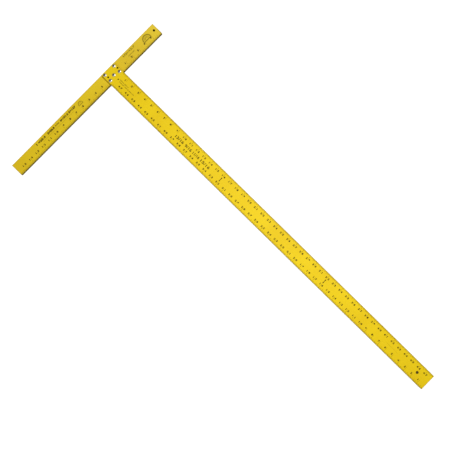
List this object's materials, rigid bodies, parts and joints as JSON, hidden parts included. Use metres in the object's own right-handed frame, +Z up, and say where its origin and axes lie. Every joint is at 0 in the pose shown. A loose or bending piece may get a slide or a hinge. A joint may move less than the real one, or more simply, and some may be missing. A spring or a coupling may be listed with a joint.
{
  "type": "drywall t-square",
  "caption": "Fixed layout T-square: a flat metal blade riveted at a right angle across a channel head whose inner leg is the fence; inch scales are marked on both.",
  "frame": {"origin": "centre of the overall box in X and Y, at the level the head's two legs stand on", "axes": "+Z up through the marked face, +Y along the blade from its free end to the head, +X along the head towards its short arm"},
  "size_m": [0.5604, 1.2542, 0.0182],
  "materials": {
    "yellow_enamel": "satin yellow coating on aluminium, lightly scuffed",
    "bare_aluminium": "bright, lightly brushed",
    "stem_steel": "dull broken end",
    "print_ink": "matt screen-printed ink"
  },
  "bodies": {
    "root": {"blade": "yellow_enamel", "head": "yellow_enamel", "rivet_1": "bare_aluminium", "rivet_2": "bare_aluminium", "rivet_3": "bare_aluminium", "rivet_4": "bare_aluminium", "rivet_5": "bare_aluminium", "rivet_stem_1": "stem_steel", "rivet_stem_2": "stem_steel", "rivet_stem_3": "stem_steel", "rivet_stem_4": "stem_steel", "rivet_stem_5": "stem_steel"}
  },
  "joints": []
}
